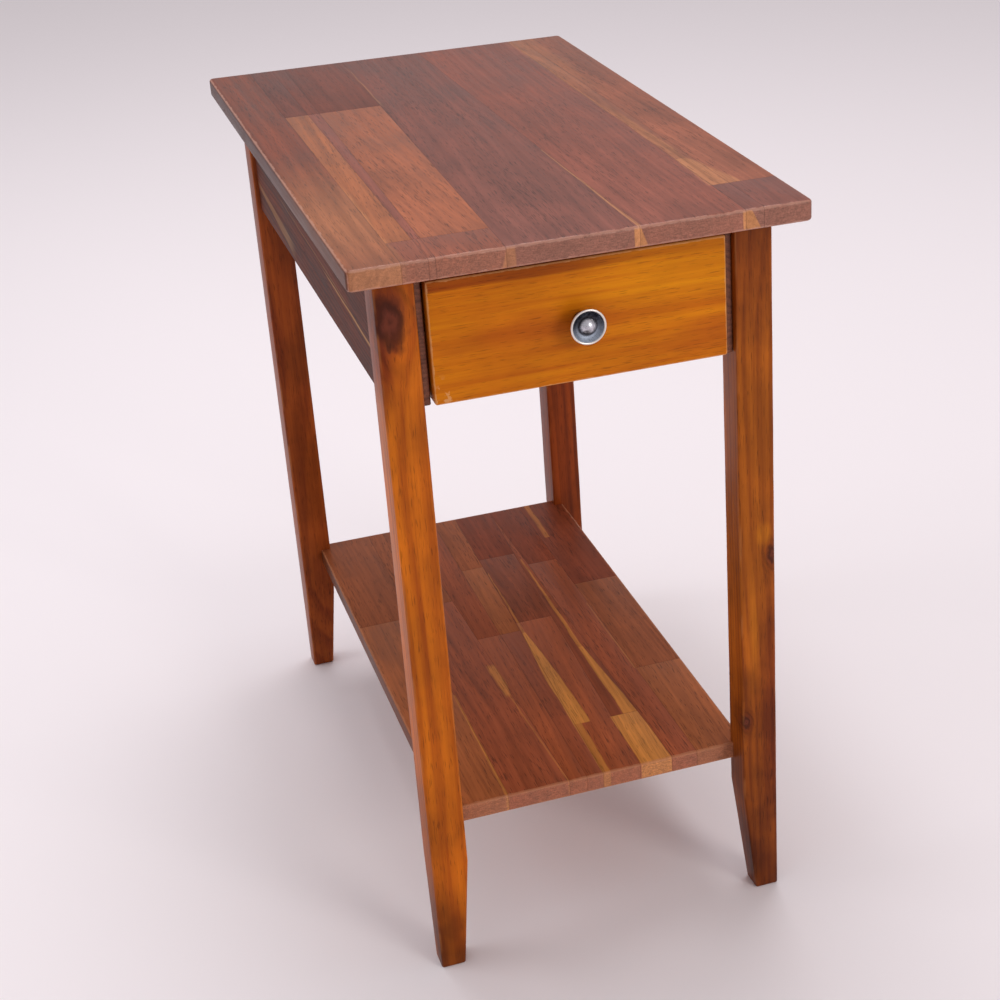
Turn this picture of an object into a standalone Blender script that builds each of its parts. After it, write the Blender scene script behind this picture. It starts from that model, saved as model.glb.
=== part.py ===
"""Narrow side table with one drawer and a low shelf, in metres, +Z up.

The origin is on the floor under the middle of the top. The drawer opens towards -Y.
"""

import math

import bmesh
import bpy
from mathutils import Matrix, Vector

# Driving dimensions
HEIGHT = 0.610
TOP_SIZE = (0.340, 0.588)
TOP_THICK = 0.016
TOP_CORNER_RADIUS = 0.004
LEG_SPREAD = (0.297, 0.539)  # over the outer faces of the legs, along X and Y
LEG_SIDE = 0.0295
FOOT_SIDE = 0.0200
KNEE_Z = 0.0985  # below this the two inner faces of a leg taper to the foot
GAP = 0.0003  # between pieces that touch

# How far each kind of piece has its arrises eased
BOARD_EASE = 0.0008
TOP_EASE = 0.0026
LEG_EASE = 0.0018
SHELF_EASE = 0.0012
FRONT_EASE = 0.0016
PANEL_EASE = 0.0004

APRON_BOTTOM_Z = 0.4963
APRON_THICK = 0.015
APRON_SETBACK = 0.004  # from the outer faces of the legs

SHELF_TOP_Z = 0.136
SHELF_THICK = 0.015
SHELF_HALF_WIDTH = 0.1283
SHELF_ENDS_Y = (-0.2470, 0.2520)

GUIDE_THICK = 0.0054
GUIDE_BOTTOM_Z = 0.491
GUIDE_SETBACK = 0.006  # from the front faces of the legs
STRIP_WIDTH = 0.0135
STRIP_SETBACK = 0.002  # behind the drawer front
RUNNER_THICK = 0.009
RUNNER_BOTTOM_Z = 0.4945
KICKER_THICK = 0.0134

FRONT_HALF_WIDTH = 0.1117
FRONT_BOTTOM_Z = 0.4926
FRONT_TOP_Z = 0.5853
FRONT_THICK = 0.018
FRONT_PROUD = 0.001  # past the front faces of the legs
SIDE_THICK = 0.012
SIDE_OUTER_X = 0.1105
SIDE_TOP_Z = 0.578
SIDE_LIFT = 0.0005  # running clearance over the runners
SIDE_END_Y = 0.198
BACK_TOP_Z = 0.570
BACK_INSET = 0.003
BOTTOM_THICK = 0.005
BOTTOM_RISE = 0.0075  # from the lower edges of the drawer sides
GROOVE_DEPTH = 0.006

DOWEL_RADIUS = 0.004
DOWEL_HALF_LENGTH = 0.016
DOWEL_CHAMFER = 0.001
SIDE_DOWELS_Z = (0.520, 0.572)
BACK_DOWELS_Z = (0.507, 0.559)
CORNER_BLOCK_SIDE = 0.028
CORNER_BLOCK_Z = (0.515, 0.5795)
STOP_LENGTH, STOP_HEIGHT, STOP_WIDTH = 0.012, 0.010, 0.011

KNOB_SCREW_RADIUS = 0.0020
KNOB_BORE_DEPTH = 0.0100
KNOB_SCREW_BITE = 0.0090  # how far the screw reaches into the knob
TOP_SCREW_RADIUS = 0.0016
TOP_SCREW_LENGTH = 0.0235
TOP_SCREWS_Y = (-0.200, 0.0, 0.200)
GUIDE_SCREW_LENGTH = 0.022
GUIDE_SCREW_INSET = 0.0052  # from the inner edge of the leg
HEAD_RADIUS, HEAD_THICK = 0.0034, 0.0022

# Levels and planes worked out from the driving dimensions
UNDER_TOP_Z = HEIGHT - TOP_THICK
FRAME_TOP_Z = UNDER_TOP_Z - GAP
LEG_OUTER = Vector((LEG_SPREAD[0] / 2, LEG_SPREAD[1] / 2))
LEG_INNER = LEG_OUTER - Vector((LEG_SIDE, LEG_SIDE))
APRON_OUTER_X = LEG_OUTER.x - APRON_SETBACK
APRON_OUTER_Y = LEG_OUTER.y - APRON_SETBACK
APRON_INNER_Y = APRON_OUTER_Y - APRON_THICK
GUIDE_OUTER_X = LEG_INNER.x - GAP
GUIDE_INNER_X = GUIDE_OUTER_X - GUIDE_THICK
GUIDE_FRONT_Y = -LEG_OUTER.y + GUIDE_SETBACK
STRIP_OUTER_X = GUIDE_INNER_X - GAP
STRIP_INNER_X = STRIP_OUTER_X - STRIP_WIDTH
STRIP_MIDDLE_X = (STRIP_OUTER_X + STRIP_INNER_X) / 2
RUNNER_TOP_Z = RUNNER_BOTTOM_Z + RUNNER_THICK
KICKER_BOTTOM_Z = FRAME_TOP_Z - KICKER_THICK
SIDE_BOTTOM_Z = RUNNER_TOP_Z + SIDE_LIFT
SIDE_INNER_X = SIDE_OUTER_X - SIDE_THICK
FRONT_FACE_Y = -LEG_OUTER.y - FRONT_PROUD
FRONT_REAR_Y = FRONT_FACE_Y + FRONT_THICK
FRONT_MIDDLE_Z = (FRONT_BOTTOM_Z + FRONT_TOP_Z) / 2
STRIP_FRONT_Y = FRONT_REAR_Y + STRIP_SETBACK
BOTTOM_Z = SIDE_BOTTOM_Z + BOTTOM_RISE

SIDES = {"left": -1, "right": 1}
ENDS = {"front": -1, "back": 1}
BORE_SIDES = 16
OVERRUN = 0.001  # a cutter runs this far past the face it enters
NOTCH_OVERRUN = 0.004  # the same, for the shelf's notches in the legs


def clear_scene():
    for obj in list(bpy.data.objects):
        bpy.data.objects.remove(obj, do_unlink=True)


def make_material(name, colour, roughness, metallic=0.0):
    material = bpy.data.materials.new(name)
    material.use_nodes = True
    shader = material.node_tree.nodes["Principled BSDF"]
    shader.inputs["Base Color"].default_value = (*colour, 1.0)
    shader.inputs["Roughness"].default_value = roughness
    shader.inputs["Metallic"].default_value = metallic
    return material


def add_object(name, bm, material, location, parent=None):
    """Makes an object of bm, whose points are counted from location."""
    bmesh.ops.recalc_face_normals(bm, faces=bm.faces)
    mesh = bpy.data.meshes.new(name)
    bm.to_mesh(mesh)
    bm.free()
    obj = bpy.data.objects.new(name, mesh)
    bpy.context.scene.collection.objects.link(obj)
    obj.parent = parent
    obj.location = Vector(location) - (parent.location if parent else Vector())
    if material:
        mesh.materials.append(material)
    return obj


def add_bevel(obj, width, segments):
    bevel = obj.modifiers.new("eased_edges", "BEVEL")
    bevel.width = width
    bevel.segments = segments
    bevel.limit_method = "ANGLE"
    bevel.angle_limit = math.radians(40)


def brick(bm, low, high):
    low, high = Vector(low), Vector(high)
    size = Matrix.Diagonal((*(high - low), 1.0))
    bmesh.ops.create_cube(bm, size=1.0, matrix=Matrix.Translation((low + high) / 2) @ size)


def rod(bm, start, end, radius, sides=BORE_SIDES):
    start, end = Vector(start), Vector(end)
    turn = (end - start).to_track_quat("Z", "Y").to_matrix().to_4x4()
    bmesh.ops.create_cone(
        bm,
        cap_ends=True,
        segments=sides,
        radius1=radius,
        radius2=radius,
        depth=(end - start).length,
        matrix=Matrix.Translation((start + end) / 2) @ turn,
    )


def board(name, low, high, material, parent=None, ease=BOARD_EASE, segments=1):
    """A rectangular board between two world corners, its arrises eased."""
    low, high = Vector(low), Vector(high)
    middle = (low + high) / 2
    bm = bmesh.new()
    brick(bm, low - middle, high - middle)
    obj = add_object(name, bm, material, middle, parent)
    add_bevel(obj, ease, segments)
    return obj


def cut(obj, bricks=(), rods=()):
    """Cuts boxes (low, high) and bores (start, end, radius), in world coordinates, out of obj."""
    bm = bmesh.new()
    for low, high in bricks:
        brick(bm, low, high)
    for start, end, radius in rods:
        rod(bm, start, end, radius)
    bpy.context.view_layer.update()
    bmesh.ops.transform(bm, matrix=obj.matrix_world.inverted(), verts=bm.verts)
    origin = obj.matrix_world.translation
    cutter = add_object(obj.name + "_cutter", bm, None, origin)
    cutter.parent = obj
    cutter.location = (0, 0, 0)
    cutter.hide_render = True
    cutter.display_type = "WIRE"
    boolean = obj.modifiers.new("cuts", "BOOLEAN")
    boolean.operation = "DIFFERENCE"
    boolean.object = cutter


def turned(name, profile, sides, material, location, axis, parent=None):
    """A turned solid. The profile runs from axis to axis as (radius, height along the axis)."""
    bm = bmesh.new()
    rings = []
    for radius, height in profile:
        count = sides if radius > 0 else 1
        angles = [2 * math.pi * i / sides for i in range(count)]
        rings.append([bm.verts.new((radius * math.cos(a), radius * math.sin(a), height)) for a in angles])
    for lower, upper in zip(rings, rings[1:]):
        for i in range(sides):
            j = (i + 1) % sides
            if len(lower) == 1:
                bm.faces.new((lower[0], upper[i], upper[j]))
            elif len(upper) == 1:
                bm.faces.new((lower[i], lower[j], upper[0]))
            else:
                bm.faces.new((lower[i], lower[j], upper[j], upper[i]))
    turn = Vector(axis).to_track_quat("Z", "Y").to_matrix().to_4x4()
    bmesh.ops.transform(bm, matrix=turn, verts=bm.verts)
    obj = add_object(name, bm, material, location, parent)
    obj.data.shade_smooth()
    obj.data.set_sharp_from_angle(angle=math.radians(35))
    return obj


def arc(centre, radius, first, last, steps):
    """Points of a circular arc in the (radius, height) plane, angles in degrees."""
    angles = [math.radians(first + (last - first) * i / steps) for i in range(steps + 1)]
    return [(centre[0] + radius * math.cos(a), centre[1] + radius * math.sin(a)) for a in angles]


def screw(name, head_at, axis, length, radius, material, parent=None):
    """A flat-topped screw: head_at is the middle of the head's outer face, axis points to its tip."""
    profile = [
        (0, 0),
        (HEAD_RADIUS * 0.8, 0),
        (HEAD_RADIUS, HEAD_THICK * 0.3),
        (HEAD_RADIUS, HEAD_THICK),
        (radius, HEAD_THICK),
        (radius, length - 2 * radius),
        (0, length),
    ]
    turned(name, profile, 12, material, head_at, axis, parent)


def make_top(wood):
    corner_steps = 3
    half = Vector(TOP_SIZE) / 2
    bm = bmesh.new()
    outline = []
    for sx, sy, first in ((1, 1, 0), (-1, 1, 90), (-1, -1, 180), (1, -1, 270)):
        centre = (sx * (half.x - TOP_CORNER_RADIUS), sy * (half.y - TOP_CORNER_RADIUS))
        outline += arc(centre, TOP_CORNER_RADIUS, first, first + 90, corner_steps)
    face = bm.faces.new([bm.verts.new((x, y, -TOP_THICK / 2)) for x, y in outline])
    raised = bmesh.ops.extrude_face_region(bm, geom=[face])["geom"]
    lifted = [v for v in raised if isinstance(v, bmesh.types.BMVert)]
    bmesh.ops.translate(bm, verts=lifted, vec=(0, 0, TOP_THICK))
    top = add_object("top_panel", bm, wood, (0, 0, HEIGHT - TOP_THICK / 2))
    add_bevel(top, TOP_EASE, 3)
    pilots = []
    for side in SIDES.values():
        for y in TOP_SCREWS_Y:
            x = side * STRIP_MIDDLE_X
            tip = KICKER_BOTTOM_Z + TOP_SCREW_LENGTH + GAP
            pilots.append(((x, y, UNDER_TOP_Z - OVERRUN), (x, y, tip), TOP_SCREW_RADIUS + GAP))
    cut(top, rods=pilots)


def make_leg(name, sx, sy, wood):
    outer = Vector((sx * LEG_OUTER.x, sy * LEG_OUTER.y))
    bm = bmesh.new()
    rings = []
    for z, side in ((0.0, FOOT_SIDE), (KNEE_Z, LEG_SIDE), (FRAME_TOP_Z, LEG_SIDE)):
        corners = ((0, 0), (side, 0), (side, side), (0, side))
        rings.append([bm.verts.new((-sx * a, -sy * b, z)) for a, b in corners])
    bm.faces.new(rings[0])
    bm.faces.new(rings[-1])
    for lower, upper in zip(rings, rings[1:]):
        for i in range(4):
            j = (i + 1) % 4
            bm.faces.new((lower[i], lower[j], upper[j], upper[i]))
    leg = add_object(name, bm, wood, (outer.x, outer.y, 0))
    add_bevel(leg, LEG_EASE, 2)

    shelf_end = SHELF_ENDS_Y[0 if sy < 0 else 1]
    inside = Vector((sx * (LEG_INNER.x - NOTCH_OVERRUN), sy * (LEG_INNER.y - NOTCH_OVERRUN)))
    deepest = Vector((sx * (SHELF_HALF_WIDTH + GAP), shelf_end + sy * GAP))
    low = (min(inside.x, deepest.x), min(inside.y, deepest.y), SHELF_TOP_Z - SHELF_THICK - GAP)
    high = (max(inside.x, deepest.x), max(inside.y, deepest.y), SHELF_TOP_Z + GAP)
    bore = DOWEL_RADIUS + GAP
    reach = DOWEL_HALF_LENGTH + GAP
    apron_x = sx * (APRON_OUTER_X - APRON_THICK / 2)
    rods = []
    for z in SIDE_DOWELS_Z:
        start = (apron_x, sy * (LEG_INNER.y - OVERRUN), z)
        rods.append((start, (apron_x, sy * (LEG_INNER.y + reach), z), bore))
    if sy > 0:
        apron_y = APRON_OUTER_Y - APRON_THICK / 2
        for z in BACK_DOWELS_Z:
            start = (sx * (LEG_INNER.x - OVERRUN), apron_y, z)
            rods.append((start, (sx * (LEG_INNER.x + reach), apron_y, z), bore))
    guide_screw = guide_screw_places(sx)[0 if sy < 0 else 1]
    tip = guide_screw + Vector((sx * (GUIDE_SCREW_LENGTH + GAP), 0, 0))
    rods.append((guide_screw, tip, TOP_SCREW_RADIUS + GAP))
    cut(leg, bricks=[(low, high)], rods=rods)


def make_aprons(wood):
    bore = DOWEL_RADIUS + GAP
    reach = DOWEL_HALF_LENGTH + GAP
    end_y = LEG_INNER.y - GAP
    for side_name, side in SIDES.items():
        x_faces = sorted((side * APRON_OUTER_X, side * (APRON_OUTER_X - APRON_THICK)))
        low = (x_faces[0], -end_y, APRON_BOTTOM_Z)
        high = (x_faces[1], end_y, FRAME_TOP_Z)
        apron = board(f"apron_{side_name}", low, high, wood)
        x = sum(x_faces) / 2
        rods = []
        for end in ENDS.values():
            for z in SIDE_DOWELS_Z:
                inner = (x, end * (LEG_INNER.y - reach), z)
                rods.append((inner, (x, end * (end_y + OVERRUN), z), bore))
        cut(apron, rods=rods)
    end_x = LEG_INNER.x - GAP
    low = (-end_x, APRON_INNER_Y, APRON_BOTTOM_Z)
    apron = board("apron_back", low, (end_x, APRON_OUTER_Y, FRAME_TOP_Z), wood)
    y = (APRON_INNER_Y + APRON_OUTER_Y) / 2
    rods = []
    for side in SIDES.values():
        for z in BACK_DOWELS_Z:
            inner = (side * (LEG_INNER.x - reach), y, z)
            rods.append((inner, (side * (end_x + OVERRUN), y, z), bore))
    cut(apron, rods=rods)


def make_dowels(wood):
    half = DOWEL_HALF_LENGTH
    profile = [
        (0, -half),
        (DOWEL_RADIUS - DOWEL_CHAMFER, -half),
        (DOWEL_RADIUS, -half + DOWEL_CHAMFER),
        (DOWEL_RADIUS, half - DOWEL_CHAMFER),
        (DOWEL_RADIUS - DOWEL_CHAMFER, half),
        (0, half),
    ]
    x = APRON_OUTER_X - APRON_THICK / 2
    y = APRON_OUTER_Y - APRON_THICK / 2
    levels = ("lower", "upper")
    for side_name, side in SIDES.items():
        for end_name, end in ENDS.items():
            for level, z in zip(levels, SIDE_DOWELS_Z):
                name = f"dowel_{end_name}_{side_name}_{level}"
                turned(name, profile, 12, wood, (side * x, end * LEG_INNER.y, z), (0, 1, 0))
        for level, z in zip(levels, BACK_DOWELS_Z):
            name = f"dowel_back_apron_{side_name}_{level}"
            turned(name, profile, 12, wood, (side * LEG_INNER.x, y, z), (1, 0, 0))


def guide_screw_places(side):
    """The heads of the two screws that hold a guide board to its legs, front then back."""
    x = side * (GUIDE_INNER_X + GAP)
    y = LEG_INNER.y + GUIDE_SCREW_INSET
    z = (RUNNER_TOP_Z + KICKER_BOTTOM_Z) / 2
    return [Vector((x, -y, z)), Vector((x, y, z))]


def make_guides(wood, steel):
    """The boards that line the drawer space, with the strips under and over the drawer sides."""
    for side_name, side in SIDES.items():
        end_y = APRON_INNER_Y - GAP
        x_faces = sorted((side * GUIDE_OUTER_X, side * GUIDE_INNER_X))
        low = (x_faces[0], GUIDE_FRONT_Y, GUIDE_BOTTOM_Z)
        guide = board(f"drawer_guide_{side_name}", low, (x_faces[1], end_y, FRAME_TOP_Z), wood)
        heads, shanks = [], []
        for end, place in zip(ENDS, guide_screw_places(side)):
            seat = place + Vector((side * (HEAD_THICK + GAP), 0, 0))
            far = place + Vector((side * (GUIDE_THICK + OVERRUN), 0, 0))
            back_off = Vector((side * OVERRUN, 0, 0))
            heads.append((place - back_off, seat, HEAD_RADIUS + GAP))
            shanks.append((seat - back_off, far, TOP_SCREW_RADIUS + GAP))
            name = f"guide_screw_{end}_{side_name}"
            screw(name, place, (side, 0, 0), GUIDE_SCREW_LENGTH, TOP_SCREW_RADIUS, steel)
        cut(guide, rods=heads)
        cut(guide, rods=shanks)

        strip_x = sorted((side * STRIP_OUTER_X, side * STRIP_INNER_X))
        low = (strip_x[0], STRIP_FRONT_Y, RUNNER_BOTTOM_Z)
        board(f"drawer_runner_{side_name}", low, (strip_x[1], end_y, RUNNER_TOP_Z), wood)
        low = (strip_x[0], STRIP_FRONT_Y, KICKER_BOTTOM_Z)
        kicker = board(f"drawer_kicker_{side_name}", low, (strip_x[1], end_y, FRAME_TOP_Z), wood)
        x = side * STRIP_MIDDLE_X
        head_z = KICKER_BOTTOM_Z + GAP
        seat_z = head_z + HEAD_THICK + GAP
        heads, shanks = [], []
        for number, y in enumerate(TOP_SCREWS_Y, 1):
            heads.append(((x, y, KICKER_BOTTOM_Z - OVERRUN), (x, y, seat_z), HEAD_RADIUS + GAP))
            shank_end = (x, y, FRAME_TOP_Z + OVERRUN)
            shanks.append(((x, y, seat_z - OVERRUN), shank_end, TOP_SCREW_RADIUS + GAP))
            name = f"top_screw_{side_name}_{number}"
            length = TOP_SCREW_LENGTH - GAP
            screw(name, (x, y, head_z), (0, 0, 1), length, TOP_SCREW_RADIUS, steel)
        cut(kicker, rods=heads)
        cut(kicker, rods=shanks)

        stop_x = sorted((side * SIDE_OUTER_X, side * (SIDE_OUTER_X - STOP_WIDTH)))
        low = (stop_x[0], SIDE_END_Y + GAP, RUNNER_TOP_Z + GAP)
        high = (stop_x[1], SIDE_END_Y + GAP + STOP_LENGTH, RUNNER_TOP_Z + GAP + STOP_HEIGHT)
        board(f"drawer_stop_{side_name}", low, high, wood)


def make_corner_blocks(wood):
    corner = Vector((GUIDE_INNER_X - GAP, APRON_INNER_Y - GAP))
    low, high = CORNER_BLOCK_Z
    for side_name, side in SIDES.items():
        bm = bmesh.new()
        points = ((0, 0), (-side * CORNER_BLOCK_SIDE, 0), (0, -CORNER_BLOCK_SIDE))
        face = bm.faces.new([bm.verts.new((x, y, low)) for x, y in points])
        raised = bmesh.ops.extrude_face_region(bm, geom=[face])["geom"]
        lifted = [v for v in raised if isinstance(v, bmesh.types.BMVert)]
        bmesh.ops.translate(bm, verts=lifted, vec=(0, 0, high - low))
        add_object(f"corner_block_{side_name}", bm, wood, (side * corner.x, corner.y, 0))


def make_shelf(wood):
    low = (-SHELF_HALF_WIDTH, SHELF_ENDS_Y[0], SHELF_TOP_Z - SHELF_THICK)
    high = (SHELF_HALF_WIDTH, SHELF_ENDS_Y[1], SHELF_TOP_Z)
    board("shelf", low, high, wood, None, SHELF_EASE, 2)


def make_drawer(front_wood, box_wood, pewter, steel):
    """The drawer's pieces hang from an empty on the line that it slides along."""
    slide = bpy.data.objects.new("drawer_slide", None)
    bpy.context.scene.collection.objects.link(slide)
    slide.location = (0, FRONT_FACE_Y, FRONT_MIDDLE_Z)

    low = (-FRONT_HALF_WIDTH, FRONT_FACE_Y, FRONT_BOTTOM_Z)
    high = (FRONT_HALF_WIDTH, FRONT_REAR_Y, FRONT_TOP_Z)
    front = board("drawer_front", low, high, front_wood, slide, FRONT_EASE, 2)
    panel_x = SIDE_INNER_X + GROOVE_DEPTH - GAP
    panel_front = FRONT_REAR_Y - GROOVE_DEPTH + GAP
    groove_low, groove_high = BOTTOM_Z - GAP, BOTTOM_Z + BOTTOM_THICK + GAP
    groove_x = panel_x + GAP
    groove = (
        (-groove_x, FRONT_REAR_Y - GROOVE_DEPTH, groove_low),
        (groove_x, FRONT_REAR_Y + OVERRUN, groove_high),
    )
    through = (
        (0, FRONT_FACE_Y - OVERRUN, FRONT_MIDDLE_Z),
        (0, FRONT_REAR_Y + OVERRUN, FRONT_MIDDLE_Z),
        KNOB_SCREW_RADIUS + GAP,
    )
    cut(front, bricks=[groove], rods=[through])

    side_front = FRONT_REAR_Y + GAP
    for side_name, side in SIDES.items():
        x_faces = sorted((side * SIDE_OUTER_X, side * SIDE_INNER_X))
        low = (x_faces[0], side_front, SIDE_BOTTOM_Z)
        high = (x_faces[1], SIDE_END_Y, SIDE_TOP_Z)
        wall = board(f"drawer_side_{side_name}", low, high, box_wood, slide)
        groove_faces = sorted((side * (SIDE_INNER_X - OVERRUN), side * groove_x))
        groove = (
            (groove_faces[0], side_front - OVERRUN, groove_low),
            (groove_faces[1], SIDE_END_Y + OVERRUN, groove_high),
        )
        cut(wall, bricks=[groove])

    back_y = SIDE_END_Y - BACK_INSET
    back_x = SIDE_INNER_X - GAP
    low = (-back_x, back_y - SIDE_THICK, BOTTOM_Z + BOTTOM_THICK + GAP)
    board("drawer_back", low, (back_x, back_y, BACK_TOP_Z), box_wood, slide)
    low = (-panel_x, panel_front, BOTTOM_Z)
    high = (panel_x, SIDE_END_Y, BOTTOM_Z + BOTTOM_THICK)
    board("drawer_bottom", low, high, box_wood, slide, PANEL_EASE)

    bore = KNOB_SCREW_RADIUS + GAP
    profile = [(0, KNOB_BORE_DEPTH), (bore, KNOB_BORE_DEPTH), (bore, 0)]
    profile += [(0.0072, 0), (0.0072, 0.0012), (0.0056, 0.0024), (0.0046, 0.0048)]
    profile += [(0.0050, 0.0078), (0.0076, 0.0106), (0.0112, 0.0126)]
    profile += arc((0.0122, 0.0143), 0.0013, -60, 120, 5)
    profile += [(0.0098, 0.0136), (0.0072, 0.0132)]
    profile += arc((0, 0.0115), 0.0062, 20, 80, 4) + [(0, 0.0177)]
    knob_at = (0, FRONT_FACE_Y - GAP, FRONT_MIDDLE_Z)
    turned("knob", profile, 32, pewter, knob_at, (0, -1, 0), slide)
    head_at = (0, FRONT_REAR_Y + GAP + HEAD_THICK, FRONT_MIDDLE_Z)
    length = HEAD_THICK + FRONT_THICK + KNOB_SCREW_BITE
    screw("knob_screw", head_at, (0, -1, 0), length, KNOB_SCREW_RADIUS, steel, slide)


def main():
    clear_scene()
    frame_wood = make_material("frame_wood", (0.30, 0.10, 0.025), 0.35)
    top_wood = make_material("top_wood", (0.26, 0.10, 0.06), 0.33)
    front_wood = make_material("front_wood", (0.52, 0.20, 0.02), 0.33)
    box_wood = make_material("box_wood", (0.50, 0.32, 0.16), 0.55)
    hidden_wood = make_material("hidden_wood", (0.38, 0.20, 0.09), 0.60)
    pewter = make_material("pewter", (0.34, 0.34, 0.35), 0.38, 1.0)
    steel = make_material("steel", (0.55, 0.55, 0.53), 0.40, 1.0)
    make_top(top_wood)
    for side_name, sx in SIDES.items():
        for end_name, sy in ENDS.items():
            make_leg(f"leg_{end_name}_{side_name}", sx, sy, frame_wood)
    make_aprons(frame_wood)
    make_dowels(hidden_wood)
    make_guides(hidden_wood, steel)
    make_corner_blocks(hidden_wood)
    make_shelf(top_wood)
    make_drawer(front_wood, box_wood, pewter, steel)


main()
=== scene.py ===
"""Looks of the side table: solid wood with staves, knots and worn arrises, and a pewter knob.

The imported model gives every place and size. A length is in metres, unless a comment says otherwise.
"""

import math
import random

import bmesh
import bpy
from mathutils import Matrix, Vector, noise


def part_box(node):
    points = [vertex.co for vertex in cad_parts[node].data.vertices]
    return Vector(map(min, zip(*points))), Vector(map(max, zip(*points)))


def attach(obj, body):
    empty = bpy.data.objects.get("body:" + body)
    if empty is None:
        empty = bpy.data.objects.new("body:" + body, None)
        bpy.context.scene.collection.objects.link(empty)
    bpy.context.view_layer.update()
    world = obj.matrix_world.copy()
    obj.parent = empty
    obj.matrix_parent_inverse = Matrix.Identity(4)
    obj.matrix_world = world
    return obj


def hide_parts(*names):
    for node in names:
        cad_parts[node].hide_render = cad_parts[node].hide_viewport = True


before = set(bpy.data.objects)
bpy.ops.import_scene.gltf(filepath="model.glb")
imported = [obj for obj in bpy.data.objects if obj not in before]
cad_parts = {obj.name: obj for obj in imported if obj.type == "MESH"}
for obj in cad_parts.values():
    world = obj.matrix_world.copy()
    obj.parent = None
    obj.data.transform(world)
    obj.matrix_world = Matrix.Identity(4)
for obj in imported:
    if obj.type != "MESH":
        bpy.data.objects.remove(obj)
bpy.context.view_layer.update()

SEED = 7

# Fineness of the visual model
ARRIS_STEPS = 5
CORNER_STEPS = 6
TAPER_STEPS = 7
LEG_STEP = 0.012
KNOB_SIDES = 72
SHARP_ANGLE = math.radians(38)
CARRIED_SHARP_ANGLE = math.radians(35)

# Round arrises, corners and seams
LEG_ARRIS = 0.0019
LEG_ARRIS_WANDER = 0.22
LEG_WANDER_PITCH = Vector((40, 40, 22))
TOP_ARRIS = 0.0026
TOP_CORNER = 0.0045
SHELF_ARRIS = 0.0014
FRONT_ARRIS = 0.0017
GROOVE_HALF_WIDTH = 0.00035
GROOVE_DEPTH = 0.00010
SEAM_MARGIN = 1e-5

# Legs: the taper ends at the knee, and both ends are chamfered
KNEE_Z = 0.0985
FOOT_SIDE = 0.0200
FOOT_CHAMFER = 0.0012
HEAD_CHAMFER = 0.0006

# A face looks along an axis when its normal's part along it is above FACING, and is flat above FLAT
FACING = 0.9
FLAT = 0.9999
# A point this close to a plane is on it, for the seams and for the tool that cuts them
ON_PLANE = 1e-6
CUT_TOLERANCE = 1e-7

# Each stave takes its wood from its own part of the tree, up to this far off on each axis
STAVE_SHIFT = (3, 3, 0.3)
STRIP_SEED_STEP = 31
STAVE_SEED_STEP = 7

# Roughness for a viewer that can't run the node trees
MEAN_ROUGHNESS = 0.4


def srgb(red, green, blue):
    """Display colour, 0 to 255, as the linear colour that a socket takes."""
    shares = [c / 255 for c in (red, green, blue)]
    linear = [s / 12.92 if s <= 0.04045 else ((s + 0.055) / 1.055) ** 2.4 for s in shares]
    return (*linear, 1.0)


# ---------------------------------------------------------------- node helpers


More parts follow.
